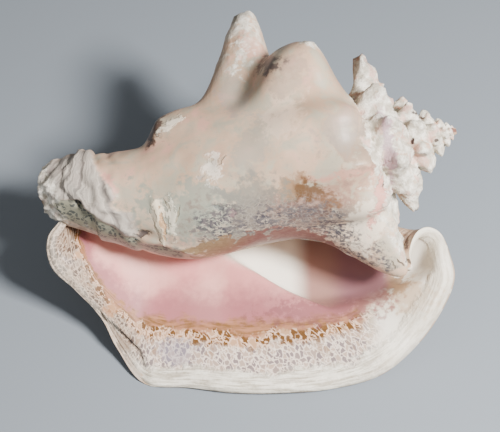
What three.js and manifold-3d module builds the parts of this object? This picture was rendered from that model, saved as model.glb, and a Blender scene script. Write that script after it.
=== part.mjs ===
// A queen conch shell lying on its back, its mouth facing up and forward, its spire to the right.
//
// It is worked out in the frame of its mouth: X right along the lip, Y up across the mouth and
// Z out of the mouth. The whole shell is then leaned back and set down on the floor.
// Growth t counts turns about the spire's axis. Across s runs over a whorl, from its seam with
// the whorl before it (0) to the end of the canal (1).
import * as THREE from 'three';
import { LoftGeometry } from 'three/addons/geometries/LoftGeometry.js';
import { mergeVertices } from 'three/addons/utils/BufferGeometryUtils.js';
import Module from 'manifold-3d';

const { smoothstep, degToRad, lerp } = THREE.MathUtils;
const wasm = await Module();
wasm.setup();

// Driving dimensions, in millimetres, degrees and turns
const GROWTH = 1.62;           // each turn is this much larger than the one before
const APEX = new THREE.Vector3(107.7, 35.8, 8);
const AXIS_RISE = 13;          // the axis climbs towards the apex
const AXIS_OUT = 4;            // and leans out of the mouth
const CANAL_LIFT = 18.5;       // the canal bends up off the axis
const LIFT_FROM = 150;         // from this distance from the apex
const LIFT_TO = 222;           // to this one
const WAIST_DIP = 2;           // the body sinks a little before the bend
const SPIRE_SIDE = 75;         // nearer the apex than this, whorls keep the growth's proportions
const CANAL_SIDE = 150;        // beyond this, the last whorl keeps one size as it turns
const WALL = 4.5;              // thickness of the shell deep inside
const SILL_GAIN = 12;          // extra thickness of the glazed sill in the mouth
const LIP_GAIN = 3;            // extra thickness of the lip
const LEAF_LOSS = 2;           // how much thinner it runs out beside the canal
const RIM_ROUND = 4;           // depth of the lip's rounded edge
const LIP_CLIMB = 27;          // how steeply the lip runs out of the mouth
const CANAL_CLIMB = -18;       // and how it rolls back beside the canal
const LEAN_BACK = 40;          // from the mouth's frame to the floor's
const FIRST_TURN = -6;         // growth at the apex
const BODY_TURN = -0.5;        // growth where the last whorl leaves the body
const LIP_TURN = 0.26;         // growth where the lip starts to flare
const OVERLAP = 0.03;          // how far the last whorl starts inside the body, in turns
const OVERLAP_SINK = 0.15;     // how far the body's skin dips under it there
const LEAVING_PULL = [1.1, 0.75];    // pull of the whorl's direction on the flare, by s
const ARRIVING_PULL = [0.45, 0.85];  // pull of the rim's direction on it, by s

// The last whorl's outside at growth 0: distance from the apex and radius
const PROFILE = [
  [50, 22], [53, 32], [60, 41], [71, 45.5], [85, 45], [100, 42], [116, 38.5], [132, 35.5],
  [148, 32], [163, 28.5], [177, 25.5], [190, 22.5], [202, 19.5], [212, 16], [219, 9],
];

// The column round the axis: distance from the apex and radius
const COLUMN = [
  [2, 1.5], [10, 4], [25, 8], [45, 12], [100, 13], [150, 12.5], [175, 11], [190, 10],
  [203, 9.5], [213, 9], [219, 6.5],
];

// The lip's rim, from the spire round to the canal: x, y, z and the direction it flares in
const RIM = [
  [81, -34, 10, 60], [80, -25, 5, 90], [85, -16, -1, 95], [93, -13, -5, 85], [101, -17, -6, 50],
  [106, -27, -5, 20], [109, -40, -4, -5], [104, -55, -4, -25], [91, -75, -6, -45],
  [70, -92, -2, -62], [44, -99, 1, -80], [18, -101, 3, -90], [-8, -101, 2, -92],
  [-32, -98, 0, -96], [-55.5, -95.5, -1.5, -112], [-69.5, -78.5, -7, -140], [-79, -60.4, -7, -140],
  [-91.4, -46.2, -3, -135], [-102.4, -35.1, 1, -145], [-104.5, -21, 2, -175], [-99, -12, 0, -190],
];

// Where the sill lies between the flare (0) and the rim (1), as s and that share
const SILL = [
  [0, 0.95], [0.22, 0.93], [0.28, 0.92], [0.32, 0.88], [0.38, 0.77], [0.45, 0.67],
  [0.49, 0.55], [0.52, 0.44], [0.6, 0.2], [1, 0.2],
];

// Spines of the last whorl: growth, across, height, reach along the growth, reach to the
// spire, reach to the canal, lean to the canal and power of their falling off
const SPINES = [
  [-0.492, 0.20, 31, 10, 9, 22, -10, 2.2],
  [-0.375, 0.15, 5.5, 7, 8, 24, -3, 2],
  [-0.275, 0.15, 5, 7, 8, 26, -2, 2],
  [-0.175, 0.15, 5, 8, 8, 26, -2, 2],
  [-0.04, 0.22, 18, 16, 13, 26, -2, 3.6],
  [0.055, 0.37, 53, 14, 14, 17, -10, 2.5],
  [0.165, 0.3, 30, 12, 12, 20, 0, 2.4],
  [0.02, 0.575, 13, 17, 27, 9, 0, 2.4],
];

// The spines on the flare, which the shell rests on: share of the flare, across, height and
// the same three reaches
const REST_SPINES = [
  [0.07, 0.315, 32.6, 13, 12, 18],
  [0.2, 0.245, 27, 10, 9, 12],
];

const REST_SPINE_POWER = 2.4;  // power of their falling off

// Nodes of the earlier whorls, spaced evenly back from the first
const NODES_PER_TURN = 9;
const FIRST_NODE = -0.97;
const NODE_HEIGHT = 11.6;      // at growth 0, and less on each turn before
const NODE_ALONG = 0.3;        // reach along, in node spacings
const NODE_ACROSS = 0.32;      // reach across, in whorl radii
const NODE_ROW = 0.17;         // where their row runs
const NODES_START = 0.55;      // the nodes fade in from this many turns before growth 0
const NODES_FULL = 0.7;        // to this many
const TALL_NODES = new Map([[0, 25], [-5, 15]]);

// Spacing of the last whorl's rows of points, in turns: on spines taller than this, within this
// reach of them, and elsewhere
const TALL_SPINE = 15;
const TALL_SPINE_REACH = 0.045;
const CLOSE_ROWS = 0.016;
const WIDE_ROWS = 0.033;

// Directions of the axis, up across it and out of the mouth
const axis = new THREE.Vector3(
  Math.cos(degToRad(AXIS_RISE)) * Math.cos(degToRad(AXIS_OUT)),
  Math.sin(degToRad(AXIS_RISE)) * Math.cos(degToRad(AXIS_OUT)),
  Math.sin(degToRad(AXIS_OUT)),
);
const out = new THREE.Vector3(0, 0, 1).addScaledVector(axis, -axis.z).normalize();
const up = new THREE.Vector3().crossVectors(out, axis);

function smoothCurve(points) {
  const vectors = points.map(([x, y, z = 0]) => new THREE.Vector3(x, y, z));
  return new THREE.CatmullRomCurve3(vectors, false, 'catmullrom', 0.5);
}

const profile = smoothCurve(PROFILE);
const rim = smoothCurve(RIM);
const rimFlare = smoothCurve(RIM.map((point) => [point[3], 0]));

function tableValue(table, x) {
  const next = table.findIndex(([at]) => at >= x);
  if (next <= 0) return table[0][1];
  const [x0, y0] = table[next - 1];
  const [x1, y1] = table[next];
  return lerp(y0, y1, (x - x0) / (x1 - x0));
}

function fallOff(distance, power) {
  return Math.exp(-(Math.abs(distance) ** power));
}

function place(along, radius, t) {
  const angle = 2 * Math.PI * t;
  const lift = CANAL_LIFT * smoothstep(along, LIFT_FROM, LIFT_TO)
    - WAIST_DIP * smoothstep(along, LIFT_FROM - 40, LIFT_FROM);
  return APEX.clone()
    .addScaledVector(axis, -along)
    .addScaledVector(up, radius * Math.cos(angle) + lift)
    .addScaledVector(out, -radius * Math.sin(angle));
}

// Distance from the apex and radius of the plain whorl
function whorl(t, s) {
  const point = profile.getPoint(s);
  const spireShare = 1 - smoothstep(point.x, SPIRE_SIDE, CANAL_SIDE);
  const share = lerp(spireShare, 1, smoothstep(-t, 0.5, 1));
  const size = lerp(1, GROWTH ** t, share);
  return [point.x * size, point.y * size];
}

function spineRelief(t, along) {
  let height = 0;
  let slide = 0;
  for (const [at, across, tall, reach, toSpire, toCanal, lean, power] of SPINES) {
    const [middle, radius] = whorl(at, across);
    const turned = 2 * Math.PI * (t - at) * radius / reach;
    const off = along - middle;
    const share = fallOff(turned, power) * fallOff(off / (off < 0 ? toSpire : toCanal), power);
    height += tall * share;
    slide += lean * share;
  }
  return [height, slide];
}

function nodeRelief(t, along) {
  const count = (t - FIRST_NODE) * NODES_PER_TURN;
  const node = Math.round(count);
  const at = FIRST_NODE + node / NODES_PER_TURN;
  const [middle, radius] = whorl(at, NODE_ROW);
  const tall = TALL_NODES.get(node) ?? NODE_HEIGHT * GROWTH ** (node / NODES_PER_TURN);
  const share = fallOff((count - node) / NODE_ALONG, 2)
    * fallOff((along - middle) / (radius * NODE_ACROSS), 2.2);
  return smoothstep(-t, NODES_START, NODES_FULL) * tall * share;
}

function plainSkin(t, s) {
  const [along, radius] = whorl(t, s);
  return place(along, radius, t);
}

function skin(t, s, sink = 0) {
  const [along, radius] = whorl(t, s);
  const [height, slide] = spineRelief(t, along);
  return place(along + slide, radius + height + nodeRelief(t, along) - sink, t);
}

// The flare, from the last whorl (0) to the rim (1), by a cubic that keeps the whorl's direction
function flare(share, s) {
  const start = plainSkin(LIP_TURN, s);
  const before = plainSkin(LIP_TURN - 0.001, s);
  const end = rim.getPoint(s);
  const chord = start.distanceTo(end);
  const leavingPull = chord * lerp(...LEAVING_PULL, smoothstep(s, 0.45, 0.65));
  const leaving = start.clone().sub(before).setLength(leavingPull);
  const angle = degToRad(rimFlare.getPoint(s).x);
  const climb = degToRad(lerp(LIP_CLIMB, CANAL_CLIMB, smoothstep(s, 0.57, 0.84)));
  const arriving = new THREE.Vector3(
    Math.cos(angle) * Math.cos(climb),
    Math.sin(angle) * Math.cos(climb),
    Math.sin(climb),
  ).setLength(chord * lerp(...ARRIVING_PULL, smoothstep(s, 0.15, 0.35)));
  const v = share;
  return new THREE.Vector3()
    .addScaledVector(start, 2 * v ** 3 - 3 * v ** 2 + 1)
    .addScaledVector(leaving, v ** 3 - 2 * v ** 2 + v)
    .addScaledVector(end, -2 * v ** 3 + 3 * v ** 2)
    .addScaledVector(arriving, v ** 3 - v ** 2);
}

function normalAt(grid, i, j) {
  const last = grid.length - 1;
  const side = grid[0].length - 1;
  const along = grid[Math.min(i + 1, last)][j].clone().sub(grid[Math.max(i - 1, 0)][j]);
  const across = grid[i][Math.min(j + 1, side)].clone().sub(grid[i][Math.max(j - 1, 0)]);
  return along.cross(across).normalize();
}

function restRelief(point) {
  let height = 0;
  for (const [share, across, tall, reach, toSpire, toCanal] of REST_SPINES) {
    const off = point.clone().sub(flare(share, across));
    const down = -off.dot(axis);
    const around = off.addScaledVector(axis, down).length();
    const fade = fallOff(down / (down < 0 ? toSpire : toCanal), REST_SPINE_POWER);
    height = Math.max(height, tall * fade * fallOff(around / reach, REST_SPINE_POWER));
  }
  return height;
}

function thickness(share, s) {
  const sill = tableValue(SILL, s);
  const step = smoothstep(share, sill - 0.13, sill + 0.03);
  const fade = 1 - smoothstep(share, sill + 0.05, sill + 0.5);
  const inMouth = smoothstep(s, 0.18, 0.3) * (1 - smoothstep(s, 0.5, 0.62));
  const lip = smoothstep(share, sill, sill + 0.3) * lerp(LIP_GAIN, -LEAF_LOSS, smoothstep(s, 0.6, 0.7));
  return WALL + SILL_GAIN * step * fade * inMouth + lip;
}

// Places across a whorl and on the flare where the skin has points, closer on the spines
const FINE_ACROSS = [
  0, 0.03, 0.06, 0.09, 0.12, 0.15, 0.18, 0.21, 0.245, 0.28, 0.315, 0.35, 0.385, 0.42, 0.46,
  0.5, 0.54, 0.58, 0.63, 0.69, 0.76, 0.84, 0.92, 1,
];
const COARSE_ACROSS = [0, 0.05, 0.1, 0.14, 0.18, 0.23, 0.29, 0.38, 0.6, 1];
const FLARE_SHARES = [
  0.07, 0.14, 0.2, 0.26, 0.33, 0.42, 0.52, 0.63, 0.74, 0.84, 0.92, 0.965, 0.99, 1,
];

function steps(from, to, count) {
  return Array.from({ length: count + 1 }, (_, i) => lerp(from, to, i / count));
}

// Growths where the last whorl has a row of points, closer on the tall spines
function growthRows() {
  const tall = SPINES.filter((spine) => spine[2] > TALL_SPINE).map(([at]) => at);
  const rows = [BODY_TURN - OVERLAP];
  while (rows.at(-1) < LIP_TURN) {
    const t = rows.at(-1);
    const near = tall.some((at) => Math.abs(t - at) < TALL_SPINE_REACH);
    rows.push(Math.min(t + (near ? CLOSE_ROWS : WIDE_ROWS), LIP_TURN));
  }
  return rows;
}

// The last whorl and the lip: one skin outside, one inside, closed round the rim
function lastWhorl() {
  const across = FINE_ACROSS;
  const shares = FLARE_SHARES;
  const turns = growthRows();
  const plain = [
    ...turns.map((t) => across.map((s) => plainSkin(t, s))),
    ...shares.map((v) => across.map((s) => flare(v, s))),
  ];
  return plain.map((row, i) => {
    const onLip = i - turns.length;
    const share = onLip < 0 ? 0 : shares[onLip];
    const outside = [];
    const inside = [];
    row.forEach((point, j) => {
      const s = across[j];
      const normal = normalAt(plain, i, j);
      const fromRim = point.distanceTo(plain.at(-1)[j]);
      const thick = thickness(share, s);
      const rounding = Math.sqrt(1 - (1 - Math.min(fromRim / RIM_ROUND, 1)) ** 2);
      const inset = thick * (1 - rounding) / 2;
      const bare = onLip < 0 ? skin(turns[i], s) : point;
      const spine = turns[i] < 0 ? 0 : restRelief(point);
      outside.push(bare.clone().addScaledVector(normal, spine - inset));
      inside.push(point.clone().addScaledVector(normal, inset - thick));
    });
    return [...inside, ...outside.reverse()];
  });
}

// Half a turn of the earlier whorls, solid from its skin to the column. It starts one row
// early, inside the half turn before it.
function halfTurn(from, rows) {
  const across = from < -1 ? COARSE_ACROSS : FINE_ACROSS;
  return steps(from - 0.5 / rows, from + 0.5, rows + 1).map((t) => {
    const sink = t > BODY_TURN - OVERLAP - 0.001 ? OVERLAP_SINK : 0;
    const [seam] = whorl(t, 0);
    const [end] = whorl(t, 1);
    const core = steps(0, 1, 5).map((x) => place(lerp(seam, end, x), GROWTH ** t, t));
    return [...core, ...across.map((s) => skin(t, s, sink)).reverse()];
  });
}

function column() {
  return COLUMN.map(([along, radius]) => steps(0, 1, 14).slice(1).map((t) => place(along, radius, t)));
}

// The last whorl needs no end cap, because its two skins meet in one line at the rim
function solid(sections, capEnd = true) {
  const loft = new LoftGeometry(sections, { capStart: true, capEnd });
  const geometry = new THREE.BufferGeometry();
  geometry.setAttribute('position', loft.attributes.position);
  geometry.setIndex(loft.index);
  const merged = mergeVertices(geometry, 1e-4);
  const triangles = [];
  for (let i = 0; i < merged.index.count; i += 3) {
    const [a, b, c] = [0, 1, 2].map((corner) => merged.index.getX(i + corner));
    if (a !== b && b !== c && c !== a) triangles.push(a, b, c);
  }
  return new wasm.Manifold(new wasm.Mesh({
    numProp: 3,
    vertProperties: merged.attributes.position.array,
    triVerts: new Uint32Array(triangles),
  }));
}

function shellGeometry() {
  let whole = solid(column());
  for (let t = FIRST_TURN; t < BODY_TURN; t += 0.5) {
    whole = whole.add(solid(halfTurn(t, t < -3 ? 9 : 18)));
  }
  whole = whole.add(solid(lastWhorl(), false));
  const mesh = whole.getMesh();
  const geometry = new THREE.BufferGeometry();
  geometry.setAttribute('position', new THREE.BufferAttribute(mesh.vertProperties, mesh.numProp));
  geometry.setIndex(new THREE.BufferAttribute(mesh.triVerts, 1));
  geometry.computeVertexNormals();
  return geometry;
}

const material = new THREE.MeshStandardMaterial({ color: 0xe6cfc4, roughness: 0.35, metalness: 0 });
const shell = new THREE.Mesh(shellGeometry(), material);
shell.name = 'shell';
shell.rotation.x = degToRad(LEAN_BACK);
const box = new THREE.Box3().setFromObject(shell, true);
const middle = box.getCenter(new THREE.Vector3());
shell.position.set(-middle.x, -middle.y, -box.min.z);

const conch = new THREE.Group();
conch.add(shell);
export default conch;
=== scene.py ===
import math

import bmesh
import bpy
import numpy as np
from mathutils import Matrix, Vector


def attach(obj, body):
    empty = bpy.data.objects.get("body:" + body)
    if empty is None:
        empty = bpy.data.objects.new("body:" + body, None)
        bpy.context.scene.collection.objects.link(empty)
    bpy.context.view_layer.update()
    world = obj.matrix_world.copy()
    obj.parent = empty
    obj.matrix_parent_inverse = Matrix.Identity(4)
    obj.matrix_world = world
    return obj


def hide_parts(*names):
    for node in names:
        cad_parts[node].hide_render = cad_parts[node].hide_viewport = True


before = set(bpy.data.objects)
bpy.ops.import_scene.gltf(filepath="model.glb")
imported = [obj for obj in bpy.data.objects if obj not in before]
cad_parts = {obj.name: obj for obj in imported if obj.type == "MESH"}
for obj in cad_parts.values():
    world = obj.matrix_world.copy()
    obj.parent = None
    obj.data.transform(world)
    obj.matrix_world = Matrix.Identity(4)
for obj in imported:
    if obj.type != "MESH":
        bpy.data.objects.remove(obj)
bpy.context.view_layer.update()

# The shell is worked out in millimetres in the frame of its mouth: X right along the lip, Y up
# across the mouth and Z out of it. Growth counts turns about the spire's axis, and across runs
# over a whorl from its seam (0) to the end of the canal (1).
MM = 0.001
LEAN_BACK = 40
SHELL_PLACE = (2.331, -9.005, 62.496)
GROWTH = 1.62
APEX = np.array([107.7, 35.8, 8.0])
AXIS_RISE = 13
AXIS_OUT = 4
CANAL_LIFT = 18.5
LIFT_FROM = 150
LIFT_TO = 222
WAIST_DIP = 2
SPIRE_SIDE = 75
CANAL_SIDE = 150
WALL = 4.5
SILL_GAIN = 12
LIP_GAIN = 3
LEAF_LOSS = 2
RIM_ROUND = 4
LIP_CLIMB = 27
CANAL_CLIMB = -18
FIRST_TURN = -6
BODY_TURN = -0.5
LIP_TURN = 0.26
OVERLAP = 0.03
LEAVING_PULL = (1.1, 0.75)
ARRIVING_PULL = (0.45, 0.85)

# Rows and columns of points: along the last whorl, on the lip and across both, along the spire
# and across it, across its solid core, and round the column
WHORL_ROWS = 150
LIP_ROWS = 60
WHORL_COLUMNS = 130
SPIRE_ROWS = 600
SPIRE_COLUMNS = 44
CORE_COLUMNS = 6
COLUMN_SIDES = 32
# A distance from the lip's rim that no band reaches, for the spire and the column
FAR_FROM_RIM = 100

# The last whorl's outside at growth 0, and the column: distance from the apex and radius
PROFILE = [
    (50, 22), (53, 32), (60, 41), (71, 45.5), (85, 45), (100, 42), (116, 38.5), (132, 35.5),
    (148, 32), (163, 28.5), (177, 25.5), (190, 22.5), (202, 19.5), (212, 16), (219, 9),
]
COLUMN = [
    (2, 1.5), (10, 4), (25, 8), (45, 12), (100, 13), (150, 12.5), (175, 11), (190, 10),
    (203, 9.5), (213, 9), (219, 6.5),
]

# The lip's rim from the spire round to the canal, and the direction it flares in
RIM = [
    (81, -34, 10), (80, -25, 5), (85, -16, -1), (93, -13, -5), (101, -17, -6), (106, -27, -5),
    (109, -40, -4), (104, -55, -4), (91, -75, -6), (70, -92, -2), (44, -99, 1), (18, -101, 3),
    (-8, -101, 2), (-32, -98, 0), (-55.5, -95.5, -1.5), (-69.5, -78.5, -7), (-79, -60.4, -7),
    (-91.4, -46.2, -3), (-102.4, -35.1, 1), (-104.5, -21, 2), (-99, -12, 0),
]
RIM_FLARE = [
    60, 90, 95, 85, 50, 20, -5, -25, -45, -62, -80, -90, -92, -96, -112, -140, -140, -135, -145,
    -175, -190,
]
# Where the sill inside the mouth lies: share of the flare at each place across
SILL = [
    (0, 0.95), (0.22, 0.93), (0.28, 0.92), (0.32, 0.88), (0.38, 0.77), (0.45, 0.67), (0.49, 0.55),
    (0.52, 0.44), (0.6, 0.2), (1, 0.2),
]
# How the sill rises and falls again about that place, in shares of the flare, how it fades at
# the mouth's ends, and how the lip thickens beyond it and thins beside the canal
SILL_RISE = (-0.13, 0.03)
SILL_FALL = (0.05, 0.5)
SILL_ENDS = (0.18, 0.3, 0.5, 0.62)
LIP_RUN = 0.3
THIN_SIDE = (0.6, 0.7)

# Spines: growth, across, height, reach along, to the spire, to the canal, lean and sharpness
SPINES = [
    (-0.492, 0.20, 31, 10, 9, 22, -10, 2.2),
    (-0.375, 0.15, 5.5, 7, 8, 24, -3, 2),
    (-0.275, 0.15, 5, 7, 8, 26, -2, 2),
    (-0.175, 0.15, 5, 8, 8, 26, -2, 2),
    (-0.04, 0.22, 18, 16, 13, 26, -2, 3.6),
    (0.055, 0.37, 53, 14, 14, 17, -10, 2.5),
    (0.165, 0.3, 30, 12, 12, 20, 0, 2.4),
    (0.02, 0.575, 13, 17, 27, 9, 0, 2.4),
]
# The spines that the shell rests on: share of the flare, across, height and reaches as above
REST_SPINES = [
    (0.07, 0.315, 31.2, 13, 12, 18),
    (0.2, 0.245, 25.6, 10, 9, 12),
]
REST_SPINE_POWER = 2.4
NODES_PER_TURN = 9
FIRST_NODE = -0.97
NODE_HEIGHT = 11.6
NODE_ALONG = 0.3
NODE_ACROSS = 0.32
NODE_ROW = 0.17
NODES_START = 0.55
NODES_FULL = 0.7
TALL_NODES = {0: 25, -5: 15}

# Pits and ledges of the front: x, y, half width, half height, turn and depth or height
MARKS = [
    (-55, -17.5, 5.5, 1.8, 0.1, -1.3), (-86.5, -1.6, 2.2, 1.8, -0.4, -3), (10, 69, 4.5, 4, 0.4, -3.5),
    (-19, 15, 4, 6, 0.4, -0.8), (-15, 18, 1.2, 5, -0.6, 0.9), (-49, 38, 5, 6.5, -0.5, -5.5),
    (-41, 39, 2.2, 7, -0.9, 2.2), (-9.4, -7.8, 2.6, 1.8, 0, -0.4), (76.4, -31.3, 3.4, 0.9, -0.72, -1.8),
    (81, -32, 2.4, 0.8, -0.8, -1.8), (46, 16, 20, 1.2, 0.1, 0.7), (-45, 31, 7, 1.2, 0.9, 1.0),
    (66, 7.4, 1.8, 1.6, 0, -3), (81, 30, 1.5, 2, 0, -3), (94, 29, 1.2, 1.2, 0, -2),
    (84.5, 44, 3, 1.3, -0.2, -3),
]
# Raised lines: height, half width and corner points
RIDGES = [
    (1.2, 1.3, [(-88, 1), (-84, -2), (-73, -9.3), (-63, -15.4), (-53, -20.5), (-43, -22.5), (-28, -27)]),
    (1.1, 1.4, [(-47.5, 0), (-46.5, -7), (-44, -13), (-42.5, -22)]),
    (0.8, 1.1, [(-38.5, -2.5), (-36, -7), (-38.5, -13), (-39, -21)]),
    (0.6, 0.9, [(-74.5, -3), (-71, -5.5), (-72.5, -9)]),
]
# Edges of the two flaps that wrap the canal's end: x at each y, and how far and which way they rise
FLAPS = [
    (1.9, -12, [
        (-56.5, -6.8), (-65.3, -5.8), (-68.9, -4.3), (-69.3, -1.8), (-66.7, 1.2), (-68.8, 4.7),
        (-76, 12.4), (-83, 24.4),
    ]),
    (1.7, 8, [(-78, -6.8), (-86.7, -1.2), (-91.5, 2.4), (-95.2, 7.5), (-94.7, 15.2), (-90, 20.4)]),
]
# The point that the folds of the canal's end fan out from
FAN_TOP = (-86, 40)
# The row of brown cells on the lip's canal side, where the bands leave the rim's form
ROW_AT = 28
ROW = [
    (-93.5, -6), (-93, -22), (-87.5, -34), (-80, -45), (-71, -54.5), (-59, -65), (-47, -71),
    (-35, -73.8), (-21, -76), (0, -75),
]
# Millimetres of band for one of lip above the row, by distance to the left
ROW_SPREAD = [(-85, 5), (-75, 3.4), (-60, 2.2), (-47, 1.5), (-30, 1)]
# The slit beside the loose leaf of the lip
SLIT = [
    (-79, -56), (-75.3, -62), (-71.7, -64.5), (-67, -69.7), (-61.9, -74.3), (-57.2, -78.7),
    (-55.2, -83.6), (-53.6, -89.3),
]
# The lower edge of the body, over the mouth
BODY_EDGE = [
    (-105, 2), (-78, -13), (-55, -25), (-34, -28), (-10, -22), (16, -18), (38, -20), (60, -30),
    (75, -38),
]

# Worn places of the last whorl: growth, across, reach along the growth and across it
WORN = [
    (0.055, 0.37, 15, 13), (-0.04, 0.2, 5, 5), (-0.30, 0.06, 60, 6),
    (0.165, 0.3, 14, 14), (-0.2, 0.99, 60, 9),
]


def unit(vectors):
    return vectors / (np.linalg.norm(vectors, axis=-1, keepdims=True) + 1e-12)


rise, lean_out = math.radians(AXIS_RISE), math.radians(AXIS_OUT)
AXIS = np.array([
    math.cos(rise) * math.cos(lean_out), math.sin(rise) * math.cos(lean_out), math.sin(lean_out),
])
OUT = unit(np.array([0, 0, 1]) - AXIS[2] * AXIS)
UP = np.cross(OUT, AXIS)


def smooth(x, low, high):
    f = np.clip((x - low) / (high - low), 0, 1)
    return f * f * (3 - 2 * f)


def mix(a, b, share):
    return a + (b - a) * share


def curve(points, u):
    """Evenly stepped smooth curve through points, at u from 0 to 1."""
    p = np.asarray(points, float).reshape(len(points), -1)
    p = np.vstack([2 * p[0] - p[1], p, 2 * p[-1] - p[-2]])
    x = np.clip(u, 0, 1) * (len(points) - 1)
    i = np.clip(np.floor(x).astype(int), 0, len(points) - 2)
    f = (x - i)[..., None]
    a, b, c, d = p[i], p[i + 1], p[i + 2], p[i + 3]
    return b + 0.5 * f * (c - a + f * (2 * a - 5 * b + 4 * c - d + f * (3 * b - a - 3 * c + d)))


def fall_off(distance, power):
    return np.exp(-np.abs(distance) ** power)


def grain(points, size, seed):
    """Smooth random values between -1 and 1 that change over the given size."""
    q = points / size + 31.7 * seed
    cell = np.floor(q).astype(np.int64)
    f = q - cell
    f = f * f * (3 - 2 * f)
    total = 0
    for corner in np.ndindex(2, 2, 2):
        n = ((cell + corner) * np.array([73856093, 19349663, 83492791])).sum(-1)
        n = (n ^ (n >> 13)) * 1274126177
        value = ((n ^ (n >> 16)) & 0xFFFF) / 0x7FFF - 1
        total = total + value * np.prod(np.where(np.array(corner) == 1, f, 1 - f), axis=-1)
    return total


def place(along, radius, turn):
    angle = 2 * math.pi * turn
    lift = CANAL_LIFT * smooth(along, LIFT_FROM, LIFT_TO)
    lift = lift - WAIST_DIP * smooth(along, LIFT_FROM - 40, LIFT_FROM)
    return (
        APEX - along[..., None] * AXIS
        + (radius * np.cos(angle) + lift)[..., None] * UP
        - (radius * np.sin(angle))[..., None] * OUT
    )


def whorl(turn, across):
    """Distance from the apex and radius of the plain whorl."""
    along, radius = np.moveaxis(curve(PROFILE, across), -1, 0)
    share = mix(1 - smooth(along, SPIRE_SIDE, CANAL_SIDE), 1, smooth(-turn, 0.5, 1))
    size = mix(1, GROWTH ** turn, share)
    return along * size, radius * size


def spine_relief(turn, along):
    height, slide = 0, 0
    for at, across, tall, reach, to_spire, to_canal, lean, power in SPINES:
        middle, radius = whorl(np.array(at), np.array(across))
        turned = 2 * math.pi * (turn - at) * radius / reach
        off = along - middle
        share = fall_off(turned, power)
        share = share * fall_off(off / np.where(off < 0, to_spire, to_canal), power)
        height = height + tall * share
        slide = slide + lean * share
    return height, slide


def node_relief(turn, along):
    count = (turn - FIRST_NODE) * NODES_PER_TURN
    node = np.round(count)
    middle, radius = whorl(FIRST_NODE + node / NODES_PER_TURN, np.full(turn.shape, NODE_ROW))
    tall = NODE_HEIGHT * GROWTH ** (node / NODES_PER_TURN)
    for tall_node, height in TALL_NODES.items():
        tall = np.where(node == tall_node, height, tall)
    share = fall_off((count - node) / NODE_ALONG, 2)
    share = share * fall_off((along - middle) / (radius * NODE_ACROSS), 2.2)
    return smooth(-turn, NODES_START, NODES_FULL) * tall * share


def skin(turn, across):
    along, radius = whorl(turn, across)
    height, slide = spine_relief(turn, along)
    return place(along + slide, radius + height + node_relief(turn, along), turn)


def flare(share, across):
    """The flared lip, from the last whorl (0) to its rim (1)."""
    start = place(*whorl(np.full(across.shape, LIP_TURN), across), LIP_TURN)
    before = place(*whorl(np.full(across.shape, LIP_TURN - 0.001), across), LIP_TURN - 0.001)
    end = curve(RIM, across)
    chord = np.linalg.norm(end - start, axis=-1)
    leaving_pull = chord * mix(*LEAVING_PULL, smooth(across, 0.45, 0.65))
    leaving = unit(start - before) * leaving_pull[..., None]
    angle = np.radians(curve(RIM_FLARE, across)[..., 0])
    climb = np.radians(mix(LIP_CLIMB, CANAL_CLIMB, smooth(across, 0.57, 0.84)))
    arriving_pull = chord * mix(*ARRIVING_PULL, smooth(across, 0.15, 0.35))
    arriving = np.stack([
        np.cos(angle) * np.cos(climb), np.sin(angle) * np.cos(climb), np.sin(climb),
    ], axis=-1) * arriving_pull[..., None]
    v = share[..., None]
    return (
        (2 * v ** 3 - 3 * v ** 2 + 1) * start + (v ** 3 - 2 * v ** 2 + v) * leaving
        + (3 * v ** 2 - 2 * v ** 3) * end + (v ** 3 - v ** 2) * arriving
    )


def normals(grid):
    return unit(np.cross(np.gradient(grid, axis=0), np.gradient(grid, axis=1)))


def rest_relief(points):
    height = 0
    for share, across, tall, reach, to_spire, to_canal in REST_SPINES:
        off = points - flare(np.array(share), np.array(across))
        down = -(off @ AXIS)
        around = np.linalg.norm(off + down[..., None] * AXIS, axis=-1)
        fade = fall_off(around / reach, REST_SPINE_POWER)
        fade = fade * fall_off(down / np.where(down < 0, to_spire, to_canal), REST_SPINE_POWER)
        height = np.maximum(height, tall * fade)
    return height


def thickness(share, across):
    sill = np.interp(across, *np.transpose(SILL))
    beyond = share - sill
    step = smooth(beyond, *SILL_RISE) * (1 - smooth(beyond, *SILL_FALL))
    in_mouth = smooth(across, *SILL_ENDS[:2]) * (1 - smooth(across, *SILL_ENDS[2:]))
    lip = smooth(beyond, 0, LIP_RUN) * mix(LIP_GAIN, -LEAF_LOSS, smooth(across, *THIN_SIDE))
    return WALL + SILL_GAIN * step * in_mouth + lip


def line_distance(points, line):
    """Distance in the mouth's X and Y from a line through corner points."""
    nearest = np.inf
    for start, end in zip(line, line[1:]):
        start, side = np.array(start), np.subtract(end, start)
        off = points[..., :2] - start
        share = np.clip(off @ side / (side @ side), 0, 1)
        nearest = np.minimum(nearest, np.linalg.norm(off - share[..., None] * side, axis=-1))
    return nearest


def lip_bands(points, from_rim):
    """Where a point lies in the lip's bands: the distance from the rim, drawn to the row of cells."""
    x, y = points[..., 0], points[..., 1]
    row_x, row_y = np.transpose(ROW)
    inner = y > np.interp(x, row_x, row_y)
    inner = np.where(x < row_x[1], np.interp(y, row_y[1::-1], row_x[1::-1]) < x, inner)
    off = line_distance(points, ROW)
    above = ROW_AT + off * np.interp(x, *np.transpose(ROW_SPREAD))
    below = ROW_AT * from_rim / (from_rim + off + 0.01)
    return mix(from_rim, np.where(inner, above, below), smooth(-x, 22, 45))


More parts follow.
